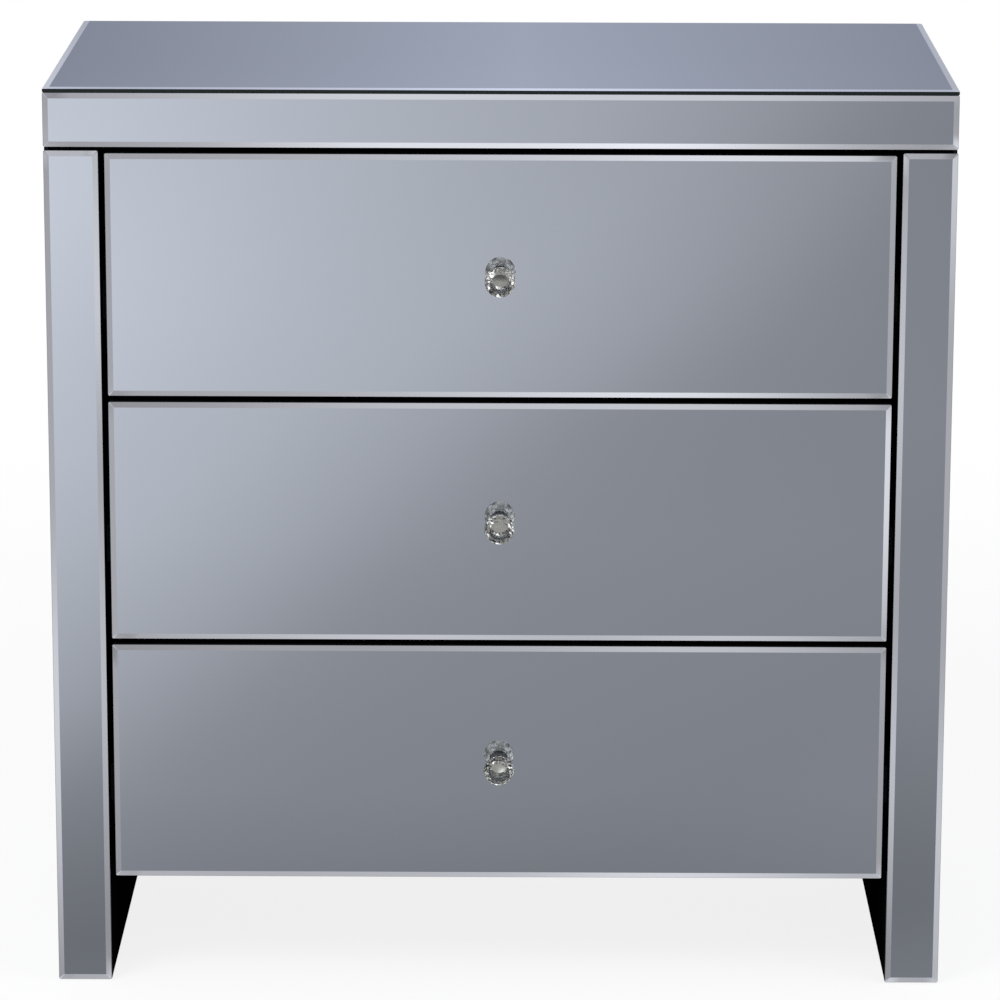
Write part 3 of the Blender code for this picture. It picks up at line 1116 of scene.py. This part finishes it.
@dataclass
class Cabinet:
    """The carcass and the mirrors that cover it."""

    body: str = "cabinet"
    top_bevel: float = 6.0 * MM
    strip_sunk: float = 0.9 * MM
    strip_play: float = 0.2 * MM
    strip_easing: float = 0.4 * MM
    brad_radius: float = 2.2 * MM
    brad_head: float = 0.7 * MM
    brad_shank: float = 0.8 * MM
    brad_length: float = 9.0 * MM
    brad_spacing: float = 92.0 * MM
    brad_inset: float = 4.5 * MM
    brad_rings: int = 7
    brad_segments: int = 20

    def build_mirrors(self) -> None:
        """Builds the top, fascia, post and side mirrors; the top, the front fascia and the posts have their
        own sway, the front fascia and the posts their own lean, and the rest the panel's usual ones.
        """
        front, body = Facing.FRONT, self.body
        MirrorPanel("top_mirror", body, Facing.TOP, (0, 90, 320, 270), bevel=self.top_bevel).build()
        MirrorPanel("front_fascia_mirror", body, front, (40, 270, 180, 290), (-0.22, -0.11)).build()
        for hand, facing, sway_deg, lean_deg in (
            ("left", Facing.LEFT, (0, 260, 250, 50), (-0.33, -0.10)),
            ("right", Facing.RIGHT, (180, 270, 260, 330), (-0.08, -0.30)),
        ):
            MirrorPanel(f"{hand}_fascia_mirror", body, facing).build()
            MirrorPanel(f"{hand}_side_mirror", body, facing).build()
            MirrorPanel(f"{hand}_post_mirror", body, front, sway_deg, lean_deg).build()

    def build_strips(self) -> None:
        """Fills the gaps between the side mirrors and the top's end mirrors with black strips, a little sunk.

        A strip is a rounded rectangle, eased at its corners, carried from front to back.
        """
        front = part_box("front_fascia_mirror")[0].y + self.strip_sunk
        for hand, sign, outside in (("left", -1, 0), ("right", 1, 1)):
            under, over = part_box(f"{hand}_side_mirror"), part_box(f"{hand}_fascia_mirror")
            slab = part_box(f"{hand}_side_slab")[outside].x
            outer = under[outside].x - sign * self.strip_sunk
            low, high = under[1].z + self.strip_play, over[0].z - self.strip_play
            middle = (slab, (low + high) / 2)
            corners = [middle, (slab, low), (outer, low), (outer, high), (slab, high), middle]
            mesh_piece(
                f"{hand}_gap_strip", *carried(eased(corners, self.strip_easing)[:-1], front, under[1].y),
                [SatinLacquer()], self.body, Slot.BOARD, smooth_deg=40.0
            )

    def build_brads(self) -> None:
        """Drives brads round the edge of the back panel, their domed heads proud of it.

        A head is the arc h = head (1 - (r / R)^2) over a short shank; the places are equal steps along the
        four sides of a rectangle drawn in from the panel's edge.
        """
        low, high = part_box("back_panel")
        share = np.linspace(0.0, 1.0, self.brad_rings)[:, None]
        head = np.column_stack([share * self.brad_radius, self.brad_head * (1.0 - share**2)])
        shank = [(self.brad_shank, 0.0), (self.brad_shank, -self.brad_length), (0.0, -self.brad_length)]
        brad = lathe(np.concatenate([head, shank]), self.brad_segments)
        half = np.array([high.x - low.x, high.z - low.z]) / 2 - self.brad_inset
        steps = np.round(2 * half / self.brad_spacing).astype(int)
        across = np.linspace(-half[0], half[0], steps[0] + 1)
        up = np.linspace(-half[1], half[1], steps[1] + 1)[1:-1]
        spots = [(x, z) for x in across for z in (-half[1], half[1])]
        spots += [(x, z) for z in up for x in (-half[0], half[0])]
        middle = np.array([(low.x + high.x) / 2, high.y, (low.z + high.z) / 2])
        places = [middle + np.array([x, 0.0, z]) for x, z in spots]
        points, faces = joined(brad, Facing.BACK, places)
        mesh_piece("back_panel_brads", points, faces, [ZincPlate()], self.body, Slot.ZINC, smooth_deg=50.0)

    def dress_boards(self) -> None:
        """Dresses the boards between and behind the mirrors."""
        for slab in ("left_side_slab", "right_side_slab", "top_slab"):
            dress(slab, MattPrimer())
        for board in ("base_board", "upper_divider_rail", "lower_divider_rail"):
            dress(board, MattPrimer())
        dress("back_panel", Hardboard())

    def build(self) -> None:
        """Builds the cabinet's looks."""
        self.build_mirrors()
        self.build_strips()
        self.build_brads()
        self.dress_boards()


@dataclass(frozen=True)
class StudioSky:
    """What shiny and clear surfaces see: soft panels between darker flags, over a pale ground.

    The camera sees plain white, and matt surfaces an even soft light. The panels lean, so that on an upright
    mirror the light falls off to the lower right. The tables hold, in this order:

    levels: elevation in degrees, brightness, how strongly the panels and flags show there, and whether the
    height is open (1) or in the belt of panels that the upright mirrors see (0).
    falloff: place between a panel's middle (0) and a flag's (1), and the light there.
    around: degrees either way from the front, the share of the panels' strength, the glow in the belt, the
    glow outside it, and how cool it is.
    front: degrees from straight ahead, and a further glow outside the belt.
    patch_stops: value of the patches' noise, and the light there.
    """

    tint: Triple = (0.97, 1.0, 1.10)
    cool_tint: Triple = (0.955, 1.0, 1.12)
    panels: int = 10
    first_panel_deg: float = -6.0
    lean: float = 1.3
    lean_from_deg: float = -9.0
    levels: tuple[tuple[float, float, float, float], ...] = (
        (-90, 0.5, 0.2, 1), (-55, 0.52, 0.2, 1), (-42, 0.66, 0.1, 1),
        (-38, 0.46, 0.1, 1), (-36, 0.48, 0.1, 1), (-34, 0.6, 0.1, 1),
        (-31, 0.85, 0.1, 1), (-28, 0.86, 0.3, 0.4), (-22, 0.65, 0.9, 0.1),
        (-18.8, 0.58, 1, 0), (-16.3, 0.9, 1, 0), (-13.3, 0.95, 1, 0),
        (-10.3, 0.85, 1, 0), (-8, 0.67, 1, 0), (-3, 0.56, 0.5, 0.5),
        (0, 0.5, 0.2, 1), (4, 0.42, 0.1, 1), (8, 0.35, 0, 1),
        (12, 0.48, 0, 1), (16, 0.6, 0, 1), (20, 0.7, 0, 1),
        (24, 0.68, 0, 1), (29, 0.66, 0.1, 1), (33, 0.75, 0.1, 1),
        (35, 0.92, 0.1, 1), (38, 0.97, 0.1, 1), (44, 0.78, 0.2, 1),
        (54, 0.56, 0.2, 1), (90, 0.54, 0, 1),
    )
    falloff: tuple[tuple[float, float], ...] = (
        (0, 0.94), (0.2, 0.705), (0.38, 0.586), (0.5, 0.466),
        (0.6, 0.34), (0.72, 0.318), (1, 0.283),
    )
    around: tuple[tuple[float, float, float, float, float], ...] = (
        (0, 1, 1, 1, 0), (9, 1, 1, 1, 0), (14, 0, 1.05, 1, 0),
        (18, 0, 0.38, 1, 0), (22, 0, 0.63, 1, 0), (26, 0, 0.95, 1, 0),
        (30, 0, 0.46, 1, 0), (36, 0.35, 0.6, 1, 0), (50, 0.7, 0.95, 0.95, 0),
        (60, 0.7, 0.72, 0.72, 0), (70, 0.7, 0.95, 0.95, 0), (81, 0.7, 0.68, 0.7, 0),
        (92, 0.7, 0.92, 0.92, 0), (103, 0.7, 0.66, 0.68, 0), (114, 0.7, 0.95, 0.95, 0),
        (126, 0.7, 0.72, 0.72, 0), (138, 0.7, 0.95, 0.95, 0), (152, 0.7, 0.75, 0.8, 0),
        (162, 0.2, 0.6, 0.9, 0), (167, 0.1, 0.5, 1.45, 0.1), (170.5, 0, 0.4, 1.8, 0.2),
        (174.4, 0, 0.3, 0.74, 1), (180, 0, 0.3, 1.13, 1),
    )
    front: tuple[tuple[float, float], ...] = (
        (-12, 1), (-7.5, 0.65), (-6, 0.85), (-4.5, 0.86), (-3, 1.07), (-1.5, 1.17), (0, 1.06),
        (0.75, 1.08), (1.5, 1.34), (3, 1.5), (4.5, 1.09), (6, 0.74), (7.5, 0.62), (12, 1),
    )
    level_span: float = 1.4
    glow_span: float = 2.0
    front_span: float = 1.6
    patch_stops: tuple[tuple[float, Triple], ...] = (
        (0.0, (0.02, 0.02, 0.02)), (0.42, (0.02, 0.02, 0.02)),
        (0.46, (0.20, 0.192, 0.182)), (0.60, (0.20, 0.192, 0.182)),
        (0.64, (1.0, 1.0, 1.0)), (1.0, (1.0, 1.0, 1.0)),
    )
    patch_scale: float = 5.0
    patch_seed: float = 4.0
    patch_strength: float = 1.8
    soft_light: float = 0.65

    def panel_light(self, tree: Tree, azimuth: Node, elevation: Node) -> Node:
        """The light between a panel's middle and the middle of the flag beside it.

        The place between the two is the fold of a - lean (e - e0) - a0 into half a panel's pitch.

        Args:
            tree: the world's node tree.
            azimuth: a, from straight ahead of the chest.
            elevation: e.

        Returns:
            The ramp that gives the light.
        """
        offset = math.radians(self.lean * self.lean_from_deg - self.first_panel_deg)
        leaning = add(tree, "Math", {0: elevation, 1: -self.lean, 2: offset}, operation="MULTIPLY_ADD")
        across = add(tree, "Math", {0: azimuth, 1: leaning}, operation="ADD")
        pitch = math.pi / self.panels
        fold = add(tree, "Math", {0: across, 1: pitch}, operation="PINGPONG")
        light = add(tree, "ValToRGB", {"Fac": add(tree, "Math", {0: fold, 1: pitch}, operation="DIVIDE")})
        light.color_ramp.interpolation = "B_SPLINE"
        return set_stops(light, [(place, grey(value)) for place, value in self.falloff])

    def studio_light(self, tree: Tree, ray: Socket) -> Node:
        """The studio's light, by the direction of a ray.

        At azimuth a and elevation e it is level(e) times a mix of 1 and the panels' light by contrast(e)
        contrast(a), times a glow: belt(a) in the belt, and around(a) front(a) where the height is open. Ramps
        hold numbers up to 1, so each is stored over its span and scaled back at the end.

        Args:
            tree: the world's node tree.
            ray: gives the ray's direction.

        Returns:
            The node that gives the light.
        """
        way = add(tree, "SeparateXYZ", {"Vector": ray}).outputs
        towards = add(tree, "Math", {0: way["Y"], 1: -1.0}, operation="MULTIPLY")
        azimuth = add(tree, "Math", {0: way["X"], 1: towards}, operation="ARCTAN2")
        elevation = add(tree, "Math", {0: way["Z"]}, operation="ARCSINE")
        quarter = math.pi / 2
        height = add(tree, "MapRange", {"Value": elevation, "From Min": -quarter, "From Max": quarter})
        levels, opens = [], []
        for degrees, value, contrast, opened in self.levels:
            place = 0.5 + degrees / 180.0
            levels.append((place, (*(value / self.level_span * part for part in self.tint), contrast)))
            opens.append((place, grey(opened)))
        level = set_stops(add(tree, "ValToRGB", {"Fac": height}), levels)
        openness = set_stops(add(tree, "ValToRGB", {"Fac": height}), opens)

        aside = add(tree, "Math", {0: azimuth}, operation="ABSOLUTE")
        sides = add(tree, "Math", {0: aside, 1: math.pi}, operation="DIVIDE")
        whole = self.glow_span * self.front_span
        stops = [
            (degrees / 180.0, (belt / whole, glow / self.glow_span, cool, contrast))
            for degrees, contrast, belt, glow, cool in self.around
        ]
        around = set_stops(add(tree, "ValToRGB", {"Fac": sides}), stops)
        parts = add(tree, "SeparateColor", {"Color": around}).outputs
        reach_deg = self.front[-1][0]
        reach = math.radians(reach_deg)
        ahead = add(tree, "MapRange", {"Value": azimuth, "From Min": -reach, "From Max": reach})
        stops = [(0.5 + deg / reach_deg / 2, grey(glow / self.front_span)) for deg, glow in self.front]
        front = set_stops(add(tree, "ValToRGB", {"Fac": ahead}), stops)
        outside = add(tree, "Math", {0: parts["Green"], 1: front}, operation="MULTIPLY")
        glow = add(tree, "Mix", {"Factor": openness, "A": parts["Red"], "B": outside})

        contrasts = {0: level.outputs["Alpha"], 1: around.outputs["Alpha"]}
        hard = add(tree, "Math", contrasts, operation="MULTIPLY")
        panels = {"Factor": hard, "A": WHITE, "B": self.panel_light(tree, azimuth, elevation)}
        panel = add(tree, "Mix", panels, data_type="RGBA").outputs[BLENDED]
        tints = {"Factor": parts["Blue"], "A": WHITE, "B": (*self.cool_tint, 1.0)}
        cool = add(tree, "Mix", tints, data_type="RGBA").outputs[BLENDED]
        shade = add(tree, "VectorMath", {0: panel, 1: cool}, operation="MULTIPLY")
        lit = add(tree, "VectorMath", {0: level, 1: shade}, operation="MULTIPLY")
        bright = add(tree, "Math", {0: glow, 1: self.level_span * whole}, operation="MULTIPLY")
        return add(tree, "VectorMath", {0: lit, "Scale": bright}, operation="SCALE")

    def patch_light(self, tree: Tree, ray: Socket) -> Node:
        """Dark, plain and bright patches, from a noise of the ray's direction.

        Args:
            tree: the world's node tree.
            ray: gives the ray's direction.

        Returns:
            The node that gives the light.
        """
        sockets = {"Vector": ray, "W": self.patch_seed, "Scale": self.patch_scale, "Detail": 0.0}
        noise = add(tree, "TexNoise", sockets, noise_dimensions="4D")
        stops = [(place, (*colour, 1.0)) for place, colour in self.patch_stops]
        patches = set_stops(add(tree, "ValToRGB", {"Fac": noise}), stops)
        return add(tree, "VectorMath", {0: patches, "Scale": self.patch_strength}, operation="SCALE")

    def build(self) -> None:
        """Builds the world.

        Mirrors see the studio. Rays that leave the crystals, or that have met a second shiny surface, such as
        those from the chrome as a mirror shows it, see the patches instead.
        """
        world = bpy.data.worlds.new("studio")
        bpy.context.scene.world = world
        world.use_nodes = True
        tree = world.node_tree
        tree.nodes.clear()
        ray = add(tree, "TexCoord").outputs["Generated"]
        kinds = add(tree, "LightPath").outputs
        plain = {"Value": kinds["Is Camera Ray"], "To Min": self.soft_light, "To Max": 1.0}
        shiny = {
            "Factor": kinds["Is Glossy Ray"],
            "A": add(tree, "MapRange", plain),
            "B": self.studio_light(tree, ray),
        }
        again = add(tree, "Math", {0: kinds["Glossy Depth"], 1: 1.5}, operation="GREATER_THAN")
        broken = {
            "Factor": add(tree, "Math", {0: kinds["Is Transmission Ray"], 1: again}, operation="MAXIMUM"),
            "A": add(tree, "Mix", shiny, data_type="RGBA").outputs[BLENDED],
            "B": self.patch_light(tree, ray),
        }
        colour = add(tree, "Mix", broken, data_type="RGBA").outputs[BLENDED]
        add(tree, "OutputWorld", {"Surface": add(tree, "Background", {"Color": colour, "Strength": 1.0})})


@dataclass(frozen=True)
class PaleFloor(Finish):
    """Matt white studio floor that keeps the chest's shadow and thins out into the white behind it."""

    name: str = "pale_studio_floor"
    colours: Codes = ("#F4F4F5",)
    roughness: Numbers = (0.9,)
    settings: Settings = (("Specular IOR Level", 0.1),)
    solid_radius: float = 0.9
    clear_radius: float = 2.2
    backlit: float = 0.85

    def material(self) -> Material:
        """Builds the floor, partly backlit to the camera as a light table is, so that the shadow stays soft.

        It is clear beyond a radius, and clear to every mirror and crystal, which see the studio.

        Returns:
            The material.
        """
        material = super().material()
        tree = material.node_tree
        place = add(tree, "TexCoord").outputs["Object"]
        distance = add(tree, "VectorMath", {0: place}, operation="LENGTH").outputs["Value"]
        fading = {"Value": distance, "From Min": self.solid_radius, "From Max": self.clear_radius}
        fade = add(tree, "MapRange", fading, interpolation_type="SMOOTHSTEP")
        kinds = add(tree, "LightPath").outputs
        shiny_kinds = {0: kinds["Is Glossy Ray"], 1: kinds["Is Transmission Ray"]}
        shiny = add(tree, "Math", shiny_kinds, operation="MAXIMUM")
        clear = add(tree, "Math", {0: shiny, 1: fade}, operation="MAXIMUM")
        shown = add(tree, "Math", {0: kinds["Is Camera Ray"], 1: self.backlit}, operation="MULTIPLY")
        matt, glowing = tree.nodes["Principled BSDF"], add(tree, "Emission", {"Strength": 1.0})
        table = add(tree, "MixShader", {0: shown, 1: matt, 2: glowing})
        mixed = add(tree, "MixShader", {0: clear, 1: table, 2: add(tree, "BsdfTransparent")})
        feed(tree, tree.nodes["Material Output"].inputs["Surface"], mixed)
        return material


@dataclass(frozen=True)
class SoftLamp:
    """A square soft lamp that looks at the chest's middle and doesn't show in mirrors; its power in watts."""

    name: str
    place: Triple
    size: float
    power: float
    aim_height: float = 0.4

    def build(self) -> None:
        """Hangs the lamp."""
        light = bpy.data.lights.new(self.name, "AREA")
        light.size = self.size
        light.energy = self.power
        lamp = bpy.data.objects.new(self.name, light)
        lamp.location = self.place
        x, y, z = np.array([0.0, 0.0, self.aim_height]) - np.array(self.place)
        lamp.rotation_euler = Euler((math.atan2(math.hypot(x, y), -z), 0.0, math.atan2(y, x) - math.pi / 2))
        lamp.visible_glossy = False
        lamp.visible_transmission = False
        lamp.visible_camera = False
        bpy.context.scene.collection.objects.link(lamp)


@dataclass
class Studio:
    """The floor, the lamps, the sky and the camera."""

    floor_half: float = 3.0
    lamps: tuple[SoftLamp, ...] = (
        SoftLamp("key_lamp", (-1.8, -2.2, 2.6), 1.6, 60.0),
        SoftLamp("fill_lamp", (2.4, -1.2, 2.0), 1.8, 25.0),
    )
    lens_mm: float = 175.1
    sensor_mm: float = 36.0
    sight: float = 50.0
    camera_x: float = 0.018
    camera_distance: float = 4.2
    camera_height: float = 1.475
    pitch_deg: float = 13.69
    yaw_deg: float = 0.24
    roll_deg: float = 0.16

    def build_floor(self) -> None:
        """Lays the floor as a square on the ground plane."""
        half = self.floor_half
        corners = [(-half, -half, 0.0), (half, -half, 0.0), (half, half, 0.0), (-half, half, 0.0)]
        mesh = bpy.data.meshes.new("floor")
        mesh.from_pydata(corners, [], [[0, 1, 2, 3]])
        mesh.materials.append(material_of(PaleFloor()))
        floor = bpy.data.objects.new("floor", mesh)
        bpy.context.scene.collection.objects.link(floor)

    def build_camera(self) -> None:
        """Sets the camera at the photograph's viewing angle."""
        data = bpy.data.cameras.new("camera")
        data.lens = self.lens_mm
        data.sensor_width = self.sensor_mm
        data.clip_end = self.sight
        camera = bpy.data.objects.new("camera", data)
        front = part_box("front_fascia_mirror")[0].y
        camera.location = (self.camera_x, front - self.camera_distance, self.camera_height)
        turn = Euler((math.radians(90.0 - self.pitch_deg), 0.0, math.radians(self.yaw_deg))).to_matrix()
        roll = Euler((0.0, 0.0, math.radians(self.roll_deg))).to_matrix()
        camera.rotation_euler = (turn @ roll).to_euler()
        bpy.context.scene.collection.objects.link(camera)
        bpy.context.scene.camera = camera

    def build(self) -> None:
        """Builds the studio."""
        self.build_floor()
        for lamp in self.lamps:
            lamp.build()
        StudioSky().build()
        self.build_camera()
        bpy.context.scene.view_settings.view_transform = "Standard"


def main() -> None:
    """Builds the studio, the cabinet and its drawers in order."""
    logging.basicConfig(level=logging.INFO, format="%(message)s")
    Studio().build()
    Cabinet().build()
    Drawer("top_drawer", (290, 20, 140, 20), (-0.23, 0.53)).build()
    Drawer("middle_drawer", (350, 0, 70, 120), (0.0, 0.38)).build()
    Drawer("bottom_drawer", (310, 0, 230, 340), (0.12, 0.46)).build()


if __name__ == "__main__":
    main()
